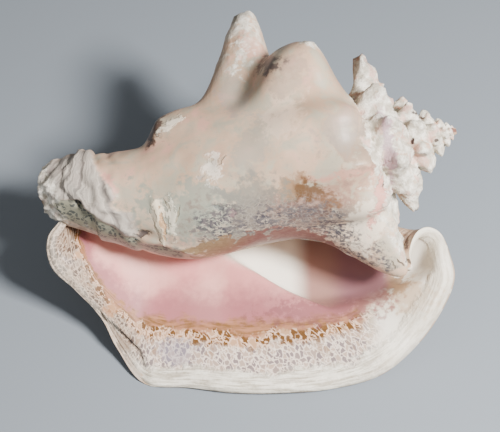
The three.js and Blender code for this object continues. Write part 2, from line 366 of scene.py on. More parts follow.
def hollows(points):
    """Pits, scars and ledges on the front of the shell, in millimetres of height."""
    height = 0
    front = smooth(points[..., 2], -2, 4)
    for x, y, wide, tall, turn, depth in MARKS:
        off = points[..., :2] - (x, y)
        cos, sin = math.cos(turn), math.sin(turn)
        u = (off[..., 0] * cos + off[..., 1] * sin) / wide
        v = (off[..., 1] * cos - off[..., 0] * sin) / tall
        height = height + depth * fall_off(np.hypot(u, v), 3)
    uneven = points + grain(points, 3.5, 5)[..., None]
    for tall, wide, line in RIDGES:
        height = height + tall * fall_off(line_distance(uneven, line) / wide, 2)
    return height * front


def canal_folds(points):
    """Two flaps wrapped around the canal's end, and the folds that fan out from their top."""
    height = 0
    for tall, reach, line in FLAPS:
        x, y = np.transpose(line)
        off = points[..., 0] - np.interp(points[..., 1], y, x) + grain(points, 6, 11) * 0.5
        side = np.sign(reach)
        height = height + tall * smooth(off * side, -0.7, 0.7) * fall_off(off / reach, 2)
    fan = np.arctan2(points[..., 1] - FAN_TOP[1], points[..., 0] - FAN_TOP[0])
    folds = np.abs(np.sin(fan * 10 + 2.2 * grain(points, 12, 4))) * 1.1 - 0.6
    folds = folds + grain(points, 5, 13) * 0.4
    return height + folds * smooth(-66 - points[..., 0], -3, 5) * smooth(points[..., 1], -8, -1)


def skin_detail(points, across):
    """Relief of the last whorl's outside beyond its main forms, in millimetres."""
    swell = grain(points, 17, 1) * 0.7 + grain(points, 8, 2) * 0.25
    height = swell * smooth(across, 0, 0.06)
    tip = smooth(across, 0.68, 0.72) * smooth(0.99 - across, 0, 0.02)
    return height + canal_folds(points) * tip + hollows(points)


def chalk_detail(points):
    """Lumps of the worn spire and spines, in millimetres."""
    lumps = 1 - 2.6 * np.abs(grain(points, 7, 6)) - 1.4 * np.abs(grain(points, 3.4, 12))
    return 1.5 * lumps + 0.7 * grain(points, 2, 7)


def rim_detail(points, from_rim, across):
    """The lip's edge, laid down in thin leaves."""
    wander = from_rim + grain(points, 14, 8) * 1.5
    leaves = np.abs(np.sin(wander * 0.9)) - 0.6
    near = 1 - smooth(from_rim, 7, 12)
    lobe = (1 - smooth(across, 0.08, 0.16)) * smooth(across, 0, 0.03)
    smoother = smooth(points[..., 0], 40, 70) * (1 - lobe)
    return (leaves * near * 0.5 + grain(points, 6, 9) * 0.4 * near) * (1 - 0.8 * smoother)


def loose_leaf(points):
    """How far the leaf beyond the lip's slit lies below the rest, in millimetres."""
    x, y = np.transpose(SLIT)
    below = np.interp(points[..., 0], x, y) - points[..., 1]
    beside = smooth(points[..., 0], -80, -76) * smooth(-points[..., 0], 52, 56)
    return 2.2 * smooth(below, -0.5, 0.8) * beside


def to_floor(points):
    """From the mouth's frame, in millimetres, to the floor's, in metres."""
    lean = math.radians(LEAN_BACK)
    x, y, z = np.moveaxis(points, -1, 0)
    leant = np.stack([
        x, y * math.cos(lean) - z * math.sin(lean), y * math.sin(lean) + z * math.cos(lean),
    ], axis=-1)
    return (leant + SHELL_PLACE) * MM


def ring_mesh(name, rings, marks):
    """A closed tube through rings of points, with marks kept as attributes of its points."""
    rows, columns = rings.shape[:2]
    bm = bmesh.new()
    bmesh.ops.create_grid(bm, x_segments=columns, y_segments=rows - 1, size=1)
    mesh = bpy.data.meshes.new(name)
    bm.to_mesh(mesh)
    flat = np.empty(len(mesh.vertices) * 3)
    mesh.vertices.foreach_get("co", flat)
    flat = flat.reshape(-1, 3)
    column = np.rint((flat[:, 0] + 1) / 2 * columns).astype(int) % columns
    row = np.rint((flat[:, 1] + 1) / 2 * (rows - 1)).astype(int)
    mesh.vertices.foreach_set("co", to_floor(rings[row, column]).ravel())
    for mark, values in marks.items():
        layer = mesh.attributes.new(mark, "FLOAT", "POINT")
        layer.data.foreach_set("value", values[row, column].astype(np.float32))
    bm.clear()
    bm.from_mesh(mesh)
    bmesh.ops.remove_doubles(bm, verts=bm.verts, dist=1e-7)
    edges = [edge for edge in bm.edges if edge.is_boundary]
    if edges:
        bmesh.ops.holes_fill(bm, edges=edges, sides=0)
    bm.to_mesh(mesh)
    bm.free()
    return mesh


def surface_marks(turn, across, points):
    """Where the last whorl is worn, speckled, stained or grey, from 0 to 1."""
    along, _ = whorl(turn, across)
    chalky = 0
    for at, middle_across, reach, side in WORN:
        middle, radius = whorl(np.array(at), np.array(middle_across))
        turned = 2 * math.pi * (turn - at) * radius
        chalky = np.maximum(chalky, fall_off(np.hypot(turned / reach, (along - middle) / side), 3))
    x, y = points[..., 0], points[..., 1]
    above = y - np.interp(x, *np.transpose(BODY_EDGE))
    front = smooth(points[..., 2], 0, 8) * smooth(-turn, 0.1, 0.2)
    cord = np.transpose(RIDGES[0][2])
    strip = smooth(np.interp(x, *cord) - y, 0.3, 1.8) * smooth(-x, 30, 38)
    flap = np.transpose(FLAPS[0][2])
    left = np.interp(y, flap[1], flap[0]) - x
    return {
        "chalky": chalky, "strip": strip * front * smooth(across, 0.5, 0.56),
        "speckled": smooth(27 - above, 0, 17) * smooth(x, -52, -12) * smooth(68 - x, 0, 14) * front,
        "stained": smooth(7 - above, 0, 6) * smooth(x, -42, -20) * front,
        "canal_tip": smooth(left, -0.8, 0.8) * smooth(across, 0.66, 0.7) * (1 - strip * front),
    }


def last_whorl(whorl_rows, flare_rows, columns):
    """The last whorl and the lip: one skin inside, one outside, closed round the rim."""
    across = np.linspace(0, 1, columns)
    turns = np.linspace(BODY_TURN - OVERLAP, LIP_TURN, whorl_rows)
    shares = 1 - (1 - np.linspace(0, 1, flare_rows + 1)[1:]) ** 1.5
    turn, s = np.meshgrid(turns, across, indexing="ij")
    share, s_flare = np.meshgrid(shares, across, indexing="ij")
    plain = np.concatenate([place(*whorl(turn, s), turn), flare(share, s_flare)])
    turn = np.concatenate([turn, LIP_TURN + 0.33 * share])
    s = np.concatenate([s, s_flare])
    share = np.concatenate([np.zeros((whorl_rows, columns)), share])
    normal = normals(plain)
    bare = plain.copy()
    bare[:whorl_rows] = skin(turn[:whorl_rows], s[:whorl_rows])
    spine = rest_relief(plain) * smooth(turn, 0, 0.02)
    from_rim = np.linalg.norm(plain - plain[-1], axis=-1)
    rim_steps = np.linalg.norm(np.diff(plain[-1], axis=0), axis=-1)
    along_rim = np.tile(np.concatenate([[0], np.cumsum(rim_steps)]), (len(plain), 1))
    banding = lip_bands(plain, from_rim)
    thick = thickness(share, s)
    rounding = np.sqrt(1 - (1 - np.clip(from_rim / RIM_ROUND, 0, 1)) ** 2)
    inset = thick * (1 - rounding) / 2
    worn = surface_marks(turn, s, plain)
    detail = skin_detail(plain, s) * smooth(LIP_TURN + 0.2 - turn, 0, 0.2)
    detail = detail + worn["chalky"] * chalk_detail(bare)
    leaves = rim_detail(plain, banding, s)
    leaf = loose_leaf(plain) * smooth(share, 0.5, 0.7)
    outside = bare + normal * (spine + detail + leaves - inset)[..., None]
    inside = plain + normal * (inset - thick - leaves + leaf)[..., None]
    outside[-1] = inside[-1] = (outside[-1] + inside[-1]) / 2
    middle = (outside[:1] + inside[:1]) / 2
    outside = np.concatenate([middle, outside])
    inside = np.concatenate([middle, inside])

    def both(values, inner=None):
        values = np.concatenate([values[:1], values])
        inner = values if inner is None else np.concatenate([inner[:1], inner])
        return np.concatenate([inner, values[:, ::-1]], axis=1)

    sill = np.interp(s, *np.transpose(SILL))
    hollow = (1 - smooth(share, sill - 0.1, sill + 0.02)) * smooth(0.62 - s, 0, 0.08)
    marks = {
        "growth": both(turn), "across": both(s), "from_rim": both(banding),
        "along_rim": both(along_rim), "hollow": both(hollow),
        "inside": both(np.zeros(s.shape), np.ones(s.shape)),
        **{name: both(values) for name, values in worn.items()},
    }
    return ring_mesh("last whorl", np.concatenate([inside, outside[:, ::-1]], axis=1), marks)


def spire(rows, columns):
    """The whorls before the last one, solid from their skin to the column."""
    across = np.linspace(0, 1, columns) ** 1.6
    turns = np.linspace(FIRST_TURN, BODY_TURN, rows)
    turn, s = np.meshgrid(turns, across, indexing="ij")
    outside = skin(turn, s)
    size = GROWTH ** (turn + 0.5)
    bumpy = np.minimum(size * 1.6, 1) * smooth(0.46 - s, 0, 0.1) * smooth(s, 0, 0.04)
    outside = outside + normals(outside) * (chalk_detail(outside) * bumpy)[..., None]
    ends = np.stack([whorl(turns, np.full(rows, end))[0] for end in (0, 1)], axis=-1)
    core_along = mix(ends[:, :1], ends[:, 1:], np.linspace(0, 1, CORE_COLUMNS))
    core_turn = np.repeat(turns[:, None], CORE_COLUMNS, axis=1)
    core = place(core_along, GROWTH ** core_turn, core_turn)

    def both(values, inner):
        return np.concatenate([np.full((rows, CORE_COLUMNS), inner), values[:, ::-1]], axis=1)

    marks = {
        "growth": np.concatenate([core_turn, turn[:, ::-1]], axis=1),
        "from_rim": both(np.full(s.shape, FAR_FROM_RIM), FAR_FROM_RIM),
        "chalky": both(np.maximum(smooth(0.42 - s, 0, 0.1), smooth(-turn, 2.5, 3)), 0),
        "stained": both(smooth(s, 0.4, 0.5) * 0.3, 0),
    }
    return ring_mesh("spire", np.concatenate([core, outside[:, ::-1]], axis=1), marks)


def column_rod():
    """The column that the whorls wind round."""
    points = np.array(COLUMN, float)
    turns = np.linspace(0, 1, COLUMN_SIDES + 1)[1:]
    turn = np.repeat(turns[None], len(points), axis=0)
    along, radius = (np.repeat(points[:, i:i + 1], COLUMN_SIDES, axis=1) for i in (0, 1))
    values = {"growth": -0.7, "from_rim": FAR_FROM_RIM, "stained": 0.6}
    marks = {mark: np.full(turn.shape, value) for mark, value in values.items()}
    return ring_mesh("column", place(along, radius, turn)[:, ::-1], marks)


def one_piece(name, meshes):
    """Joins the meshes, with the first finish inside the mouth and the second outside."""
    bm = bmesh.new()
    for mesh in meshes:
        bm.from_mesh(mesh)
    whole = bpy.data.meshes.new(name)
    bm.to_mesh(whole)
    bm.free()
    piece = bpy.data.objects.new(name, whole)
    bpy.context.scene.collection.objects.link(piece)
    whole.shade_smooth()
    inside = np.zeros(len(whole.vertices), np.float32)
    whole.attributes["inside"].data.foreach_get("value", inside)
    for face in whole.polygons:
        face.material_index = 0 if inside[list(face.vertices)].mean() > 0.4 else 1
    return piece


def tint(code):
    """A colour written as on a paint chart, in the linear values that the shaders use."""
    parts = [int(code[i:i + 2], 16) / 255 for i in (0, 2, 4)]
    return [v / 12.92 if v <= 0.04045 else ((v + 0.055) / 1.055) ** 2.4 for v in parts] + [1]


class Web:
    """Adds nodes to a shader tree. Where an input is a socket, it is linked."""

    def __init__(self, tree):
        self.tree = tree

    def add(self, kind, inputs, **settings):
        node = self.tree.nodes.new(kind)
        for key, value in settings.items():
            setattr(node, key, value)
        for key, value in inputs.items():
            if isinstance(value, bpy.types.NodeSocket):
                self.tree.links.new(value, node.inputs[key])
            else:
                node.inputs[key].default_value = value
        return node

    def group(self, tree, **inputs):
        return self.add("ShaderNodeGroup", inputs, node_tree=tree).outputs

    def number(self, operation, a, b=0.0):
        return self.add("ShaderNodeMath", {0: a, 1: b}, operation=operation).outputs[0]

    def plus(self, a, b):
        return self.number("ADD", a, b)

    def times(self, a, b):
        return self.number("MULTIPLY", a, b)

    def vector(self, operation, a, b):
        inputs = {0: a, 1: b}
        return self.add("ShaderNodeVectorMath", inputs, operation=operation).outputs[0]

    def split(self, vector):
        return self.add("ShaderNodeSeparateXYZ", {0: vector}).outputs

    def mark(self, name):
        return self.add("ShaderNodeAttribute", {}, attribute_name=name).outputs["Fac"]

    def step(self, value, low, high, start=0.0, end=1.0):
        limits = {"Value": value, "From Min": low, "From Max": high, "To Min": start, "To Max": end}
        return self.add("ShaderNodeMapRange", limits, interpolation_type="SMOOTHSTEP").outputs[0]

    def blend(self, share, a, b):
        a, b = (tint(colour) if isinstance(colour, str) else colour for colour in (a, b))
        return self.add("ShaderNodeMix", {0: share, 6: a, 7: b}, data_type="RGBA").outputs[2]

    def average(self, share, a, b):
        return self.add("ShaderNodeMix", {0: share, 2: a, 3: b}, data_type="FLOAT").outputs[0]

    def noise(self, vector, size, detail=2.0, roughness=0.5, distortion=0.0):
        inputs = {
            "Vector": vector, "Scale": 1 / size, "Detail": detail, "Roughness": roughness,
            "Distortion": distortion,
        }
        return self.add("ShaderNodeTexNoise", inputs).outputs["Fac"]

    def wander(self, noise, reach, low=0.3, high=0.7):
        """Turns a noise into a distance from -reach to reach."""
        return self.step(noise, low, high, -reach, reach)

    def lines(self, value, per_unit, detail):
        """Uneven lines along a value, so many to each unit of it."""
        inputs = {"W": self.times(value, per_unit), "Scale": 1.0, "Detail": detail}
        return self.add("ShaderNodeTexNoise", inputs, noise_dimensions="1D").outputs["Fac"]

    def stretched(self, vector, x, y, z):
        return self.vector("MULTIPLY", vector, (x, y, z))

    def between(self, value, start, full, fading, end):
        """Rises from start to full and falls again from fading to end."""
        return self.times(self.step(value, start, full), self.step(value, end, fading))

    def ragged(self, mask, uneven, low=0.35, high=0.7):
        """A mask with an uneven edge, and nothing where the mask has nothing."""
        edge = self.step(self.plus(mask, uneven), low, high)
        return self.times(edge, self.step(mask, 0.02, 0.3))

    def mouth_place(self):
        """Object coordinates turned into the mouth's frame, in millimetres."""
        place_at = self.add("ShaderNodeTexCoord", {}).outputs["Object"]
        inputs = {
            "Vector": place_at, "Location": [value * MM for value in SHELL_PLACE],
            "Rotation": (math.radians(LEAN_BACK), 0, 0), "Scale": (MM, MM, MM),
        }
        return self.add("ShaderNodeMapping", inputs, vector_type="TEXTURE").outputs[0]


def node_group(name, inputs, outputs):
    tree = bpy.data.node_groups.new(name, "ShaderNodeTree")
    for socket, kind in inputs.items():
        tree.interface.new_socket(socket, in_out="INPUT", socket_type=kind)
    for socket, kind in outputs.items():
        tree.interface.new_socket(socket, in_out="OUTPUT", socket_type=kind)
    entry = tree.nodes.new("NodeGroupInput").outputs
    end = tree.nodes.new("NodeGroupOutput").inputs
    return tree, Web(tree), entry, end


FLOAT, VECTOR, COLOUR = "NodeSocketFloat", "NodeSocketVector", "NodeSocketColor"


def patch_group():
    """An oval patch with an uneven edge, seen along the mouth's Z."""
    inputs = {"Place": VECTOR, "Centre": VECTOR, "Reach": VECTOR, "Turn": VECTOR, "Uneven": FLOAT}
    tree, web, entry, end = node_group("patch", inputs, {"Mask": FLOAT})
    laid = web.add("ShaderNodeMapping", {
        "Vector": entry["Place"], "Location": entry["Centre"], "Rotation": entry["Turn"],
        "Scale": entry["Reach"],
    }, vector_type="TEXTURE").outputs[0]
    far = web.add("ShaderNodeVectorMath", {0: laid}, operation="LENGTH").outputs["Value"]
    tree.links.new(web.step(web.plus(far, entry["Uneven"]), 1.25, 0.6), end["Mask"])
    return tree


def cell_group():
    """A net of cells: the pale net itself, and a filling that differs from cell to cell."""
    inputs = {"Place": VECTOR, "Stretch": VECTOR, "Line": FLOAT}
    tree, web, entry, end = node_group("cells", inputs, {"Net": FLOAT, "Fill": FLOAT})
    bend = web.add("ShaderNodeTexNoise", {"Vector": entry["Place"], "Scale": 0.22, "Detail": 3.0})
    bent = web.vector("ADD", entry["Place"], web.stretched(bend.outputs["Color"], 3.6, 3.6, 3.6))
    sized = {"Vector": web.vector("MULTIPLY", bent, entry["Stretch"]), "Scale": 1.0}
    edge = web.add("ShaderNodeTexVoronoi", sized, feature="DISTANCE_TO_EDGE").outputs["Distance"]
    cell = web.add("ShaderNodeTexVoronoi", sized).outputs["Color"]
    uneven = web.times(web.noise(entry["Place"], 3.0, 3.0, 0.6), 0.16)
    edge = web.number("SUBTRACT", web.plus(edge, 0.08), uneven)
    tree.links.new(web.step(edge, entry["Line"], 0.0), end["Net"])
    kind = web.add("ShaderNodeSeparateColor", {"Color": cell}).outputs[0]
    tree.links.new(web.times(kind, web.step(edge, 0.02, 0.16)), end["Fill"])
    return tree


def chalk_group():
    """Bare white shell, worn rough: its colour and the height of its grain."""
    tree, web, entry, end = node_group("chalk", {"Place": VECTOR}, {"Colour": COLOUR, "Height": FLOAT})
    coarse = web.noise(entry["Place"], 5.0, 5.0, 0.62)
    fine = web.noise(entry["Place"], 1.1, 4.0, 0.6)
    colour = web.blend(web.step(coarse, 0.36, 0.66), "b3a998", "ece5d6")
    colour = web.blend(web.step(fine, 0.48, 0.3, 0.0, 0.55), colour, "8f8374")
    tree.links.new(colour, end["Colour"])
    tree.links.new(web.plus(coarse, web.times(fine, 0.4)), end["Height"])
    return tree


def finish(name):
    material = bpy.data.materials.new(name)
    material.use_nodes = True
    shader = material.node_tree.nodes["Principled BSDF"]
    web = Web(material.node_tree)
    return material, shader, web


def close(web, shader, colour, roughness, height, depth):
    """Links a finish to its shader. Depth is the height's full range, in millimetres."""
    bump = web.add("ShaderNodeBump", {"Height": height, "Strength": 1.0, "Distance": depth * MM})
    for socket, name in ((colour, "Base Color"), (roughness, "Roughness"), (bump.outputs[0], "Normal")):
        web.tree.links.new(socket, shader.inputs[name])


# The lip's bands: how far from its rim, in millimetres, each begins to show and covers what
# lies further in. The rose one fades again into the pale throat.
PALE_THROAT = (64, 90)
ROSE_BAND = (31, 39, 44, 66)
TAN_BAND = (41, 35)
BROWN_CELLS = (32.5, 30)
PALE_NET = (27, 22)
WHITE_RIM = (13, 8)

# A stain narrower than this has a finer edge
NARROW = 2.5
# Stains of the mouth and lip, painted shade on the right of the sill, and painted shade in the slit
# beside the loose leaf:
# centre, half sizes, turn, colour, strength and relief
LIP_STAINS_AND_SHADE = [
    ((75, -44, -8), (8, 5, 40), 0, "8a6238", 0.8, 0),
    ((84, -50, 0), (13, 9, 60), 0, "c7a27c", 0.6, 0),
    ((62, -52, -10), (12, 7, 40), 0, "a8776c", 0.7, 0),
    # Painted shade on the right part of the sill
    ((38, -58, -8), (30, 7, 40), 0.08, "7d4b4e", 0.55, 0),
    ((-38, -80, -4), (10, 7, 40), 0, "8a8292", 0.45, 0),
    ((-68.5, -73.5, -8), (2.6, 7, 40), 0.75, "6e4a30", 0.9, 0),
    ((-72, -57, -8), (5, 4, 40), 0, "a9764c", 0.7, 0),
    # Painted shade in the slit beside the loose leaf, in two dark lines
    ((-66.5, -70, -8), (0.5, 13, 40), 0.8, "2e2622", 1, 0),
    ((-55.6, -84, -8), (0.45, 6, 40), 0.33, "3b322c", 0.9, 0),
]


def stains_and_shade_with(web, patch, place_at, edges, stains_and_shade, colour, relief=0.0):
    """Lays stain and painted light and shade patches over a colour, with the first edge if they are wide
    and the second if not.
    """
    for centre, size, turn, shade, strength, lift in stains_and_shade:
        mask = web.group(
            patch, Place=place_at, Centre=centre, Reach=size, Turn=(0, 0, turn),
            Uneven=edges[min(size) <= NARROW],
        )["Mask"]
        colour = web.blend(web.times(mask, strength), colour, shade)
        if lift:
            relief = web.plus(relief, web.times(mask, lift))
    return colour, relief


def banded_lip(web, cells, lip_place, from_rim, broad, left):
    """The lip's bands from the throat to the net before its rim, browner on its left side."""
    pink = web.blend(web.step(broad, 0.35, 0.65), "d98f8a", "e2a399")
    colour = web.blend(web.step(from_rim, *PALE_THROAT), pink, "e6b0a3")
    rose = web.between(from_rim, *ROSE_BAND)
    colour = web.blend(web.times(rose, 0.75), colour, "91545a")
    streaks = web.noise(web.stretched(lip_place, 1.0, 0.12, 1.0), 2.2, 4.0, 0.6)
    tan = web.blend(web.step(streaks, 0.38, 0.62), "7a5533", "a87458")
    colour = web.blend(web.step(from_rim, *TAN_BAND), colour, tan)
    net = web.group(cells, Place=lip_place, Stretch=(0.15, 0.21, 1), Line=0.11)
    small = web.group(cells, Place=lip_place, Stretch=(0.27, 0.36, 1), Line=0.15)
    brown = web.blend(web.step(net["Fill"], 0.1, 0.35), "b8906f", "664524")
    brown = web.blend(net["Net"], brown, "dcb79d")
    colour = web.blend(web.step(from_rim, *BROWN_CELLS), colour, brown)
    pale = web.blend(web.step(small["Fill"], 0.2, 0.7), "b39a89", "82726f")
    pale = web.blend(small["Net"], pale, "e2d0bf")
    mottled = web.blend(web.step(small["Fill"], 0.15, 0.6), "8c7561", "564333")
    mottled = web.blend(small["Net"], mottled, "b09781")
    pale = web.blend(web.times(left, 0.85), pale, mottled)
    spots = web.times(web.step(net["Fill"], 0.62, 0.7), web.step(from_rim, 13, 19))
    pale = web.blend(web.times(spots, 0.6), pale, "96765a")
    return web.blend(web.step(from_rim, *PALE_NET), colour, pale)


def glaze(patch, cells, chalk):
    """The glazed inside of the mouth and lip: pink, then rose, tan, a pale net and a white rim."""
    material, shader, web = finish("glazed mouth")
    place_at = web.mouth_place()
    x, y, _ = web.split(place_at)
    reach, along = web.mark("from_rim"), web.mark("along_rim")
    lip_place = web.add("ShaderNodeCombineXYZ", {0: reach, 1: along, 2: 0.0}).outputs[0]
    broad = web.noise(place_at, 22.0, 3.0)
    fine = web.noise(place_at, 4.0, 4.0, 0.6)
    drift = web.plus(web.wander(broad, 2.5), web.wander(fine, 2.5, 0.25, 0.75))
    left = web.step(x, -50, -66)
    from_rim = web.plus(reach, web.times(drift, web.average(left, 1, 2)))
    colour = banded_lip(web, cells, lip_place, from_rim, broad, left)
    # The side next to the spire is cream, with a warm stain
    right = web.step(web.plus(x, drift), 56, 74)
    cream = web.blend(web.step(broad, 0.38, 0.62), "e0d3bd", "ebe2d2")
    colour = web.blend(right, colour, cream)
    edges = (web.wander(fine, 0.6, 0.25, 0.75), web.wander(fine, 0.3, 0.25, 0.75))
    colour, _ = stains_and_shade_with(web, patch, place_at, edges, LIP_STAINS_AND_SHADE, colour)
    # The hollow of the mouth has painted light and shade: lit cream in the middle, painted shade darker
    # to the right and dark red painted shade to the left
    hollow_lit_and_shaded = web.blend(web.step(x, 20, 34), "f9efdd", "9c756a")
    hollow_lit_and_shaded = web.blend(web.step(x, 40, 54), hollow_lit_and_shaded, "8c6265")
    hollow_lit_and_shaded = web.blend(web.step(x, -12, -28), hollow_lit_and_shaded, "6d3a3c")
    hollow = web.times(web.mark("hollow"), web.step(x, 77, 70))
    colour = web.blend(hollow, colour, hollow_lit_and_shaded)
    # The rim is bare white shell in thin leaves
    bare = web.group(chalk, Place=place_at)
    leaves = web.noise(web.stretched(lip_place, 1.0, 0.07, 1.0), 1.5, 4.0, 0.65)
    white = web.blend(web.step(leaves, 0.4, 0.56), "a3957f", "ece3d0")
    white = web.blend(0.3, white, bare["Colour"])
    edge = web.plus(web.plus(reach, web.wander(broad, 2.5)), web.wander(fine, 1.5))
    white_rim = web.step(edge, *WHITE_RIM)
    bare_rim = web.times(web.average(right, 1, 0.5), web.average(left, 1, 0.25))
    colour = web.blend(web.times(white_rim, bare_rim), colour, white)
    dull = web.times(left, web.step(y, -26, -38))
    dull = web.average(dull, web.average(web.step(from_rim, 26, 14), 0.2, 0.34), 0.72)
    roughness = web.average(white_rim, dull, 0.62)
    height = web.times(web.plus(bare["Height"], leaves), white_rim)
    height = web.plus(height, web.times(fine, 0.08))
    close(web, shader, colour, roughness, height, 0.5)
    return material


# Stains, scars and spots of the front, with painted shade in its holes, pits and a hollow, on a spine's
# flank, a shoulder and a valley, partly on a grey diagonal, and painted light along a ridge: centre,
# half sizes, turn, colour, strength and relief
STAINS_AND_PAINTED_LIGHT = [
    ((-26, -6, 30), (36, 13, 50), -0.1, "84897b", 0.85, 0),
    ((20, -6, 36), (46, 9, 50), 0.05, "7c6c60", 0.85, 0),
    ((30, 0, 36), (30, 8, 40), 0.1, "9a7261", 0.6, 0),
    ((46, 12, 44), (20, 2.6, 40), 0.2, "c08472", 0.6, 0),
    ((22, 7, 38), (6, 5, 30), 0.2, "86664a", 0.75, 0),
    ((29, 4, 39), (8, 5, 30), 0.1, "5e4125", 0.85, 0),
    ((39, -2, 37), (6, 5, 30), 0.3, "6f4c30", 0.8, 0),
    ((17, 5, 36), (4, 5, 30), 0.6, "9a7b5c", 0.6, 0),
    ((27, -6, 33), (12, 3.4, 30), 0.0, "5d4b46", 0.7, 0),
    # A grey stain, partly painted shade, along a diagonal
    ((3, 28, 34), (8, 24, 60), -0.55, "8f8c80", 0.6, 0),
    # Painted light along a spine's ridge
    ((15, 45, 36), (9, 16, 60), -0.2, "dcc1a8", 0.5, 0),
    ((50, 24, 44), (13, 10, 60), 0.2, "8d7866", 0.7, 0),
    # Painted shade on the shoulder
    ((44, 33, 44), (11, 11, 60), 0.2, "958b80", 0.55, 0),
    # Painted shade on the left flank of a spine
    ((18, 60, 25), (7, 13, 60), -0.4, "95806f", 0.6, 0),
    ((60, -10, 33), (11, 15, 60), -0.5, "dccdb6", 0.8, 0),
    # Painted shade in the valley between two spine ridges
    ((-8, 55, 20), (7, 16, 60), 0.5, "98968c", 0.5, 0),
    ((0, 2, 34), (14, 10, 50), 0.1, "7a766b", 0.75, 0),
    ((-9.4, -7.8, 31), (2.4, 1.7, 20), 0.0, "7d6262", 0.9, 0),
    ((-14, -4, 32), (3.6, 1.2, 20), -0.1, "6f7470", 0.5, -0.3),
    ((-55, -17.5, 17), (5.2, 1.6, 20), 0.1, "4f4340", 0.95, -0.6),
    ((-59, -21, 17), (3, 0.6, 20), -0.3, "4a4442", 0.8, -0.5),
    ((-45.5, -9, 27), (2.6, 11, 30), 0.1, "e6d2b4", 0.9, 0.3),
    ((-39, -10, 27), (2.4, 9, 30), 0.1, "ddd2ba", 0.8, 0.3),
    ((-43.5, -12, 27), (0.9, 8, 30), 0.18, "b98a5c", 0.8, -0.4),
    ((-35.8, -7, 29), (0.6, 4.5, 30), -0.3, "85775f", 0.7, -0.3),
    ((-41.5, -3, 28), (0.6, 4, 30), 0.5, "85775f", 0.6, -0.3),
    ((-47.6, -14, 24), (0.6, 8, 30), 0.3, "8a7b68", 0.6, -0.3),
    ((-19, 15, 33), (5, 6.5, 30), 0.4, "e3d6c6", 0.7, 0.2),
    ((-14.5, 19, 34), (0.7, 3.6, 30), -0.6, "9a8470", 0.7, -0.3),
    ((-24, 11, 32), (2.2, 1.6, 30), 0.4, "9b948c", 0.7, -0.2),
    # Painted shade in the hollow beyond the callus edge
    ((-49, 38, 6), (5.5, 8, 30), -0.5, "47362f", 0.95, 0),
    ((-41, 39, 10), (2.6, 7, 30), -0.9, "e6d8c2", 0.9, 0.3),
    # Painted shade in the hole between two spines
    ((10, 69, 20), (6, 6, 30), 0.3, "453c3c", 0.85, 0),
    ((-69, 6, 20), (2.6, 7, 30), 0.5, "d3998a", 0.8, 0),
]
SCARS_AND_PIT_SHADE = [
    ((64, 1, 35), (3.2, 12, 30), -0.2, "cf8f80", 0.9, -0.4),
    ((68, 26, 31), (2.6, 19, 40), 0.15, "a98c94", 0.75, 0),
    ((2, 80, 0), (6, 10, 40), 0.2, "cf9a88", 0.6, 0),
    ((63, 66, 0), (1.6, 9, 40), 0.25, "c99a8c", 0.6, 0),
    # Painted shade inside four pits and holes near the spire
    ((66, 7.4, 32), (1.6, 1.5, 20), 0, "33241f", 1, 0),
    ((81, 30, 22), (1.2, 1.8, 20), 0, "33241f", 1, 0),
    ((94, 29, 19), (1, 1, 20), 0, "3d2e28", 0.9, 0),
    ((84.5, 44, 16), (2.6, 1.1, 20), -0.2, "3a2c28", 0.9, 0),
    ((81.3, -20, 4), (1.4, 6, 20), 0, "584540", 0.9, 0),
    ((76.4, -31.3, 17), (3, 0.6, 20), -0.72, "5a4c40", 0.9, -0.6),
    ((81, -32, 17), (2, 0.5, 20), -0.8, "5a4c40", 0.9, -0.6),
    ((72.8, -33.5, 17), (0.45, 2.2, 20), 0.3, "75695a", 0.8, -0.4),
    # Painted shade inside a pit at the canal's end
    ((-86.7, -1.4, 15), (2, 1.4, 20), -0.5, "1f1a18", 1, 0),
]


def clouded(web, broad, cloud, fine):
    """The skin's ground: tan with grey and rosy clouds and freckles."""
    colour = web.blend(web.step(broad, 0.35, 0.65), "b3947a", "c9a98e")
    colour = web.blend(web.step(cloud, 0.46, 0.66, 0, 0.7), colour, "a39f8c")
    colour = web.blend(web.step(cloud, 0.46, 0.3, 0, 0.55), colour, "d59c8a")
    freckles = web.times(web.step(fine, 0.58, 0.68), 0.35)
    return web.blend(freckles, colour, "8f887d")


def speckled_with(web, cells, place_at, fine, uneven, colour):
    """The speckled net over the mouth, and the pale net of the strip beside the canal."""
    speckled = web.mark("speckled")
    net = web.group(cells, Place=place_at, Stretch=(0.4, 0.52, 0.4), Line=0.12)
    veins = web.times(net["Net"], web.number("MAXIMUM", speckled, web.mark("strip")))
    flecks = web.noise(web.stretched(place_at, 0.6, 1.0, 1.0), 2.0, 5.0, 0.7)
    dark = web.blend(web.step(fine, 0.4, 0.6), "3c383f", "655d5b")
    speckle = web.number("MAXIMUM", web.step(net["Fill"], 0.4, 0.65), web.step(flecks, 0.47, 0.55))
    speckle = web.times(speckle, web.ragged(speckled, uneven, 0.3, 1.1))
    colour = web.blend(web.times(veins, 0.3), colour, "b9b0a4")
    return web.blend(speckle, colour, dark)


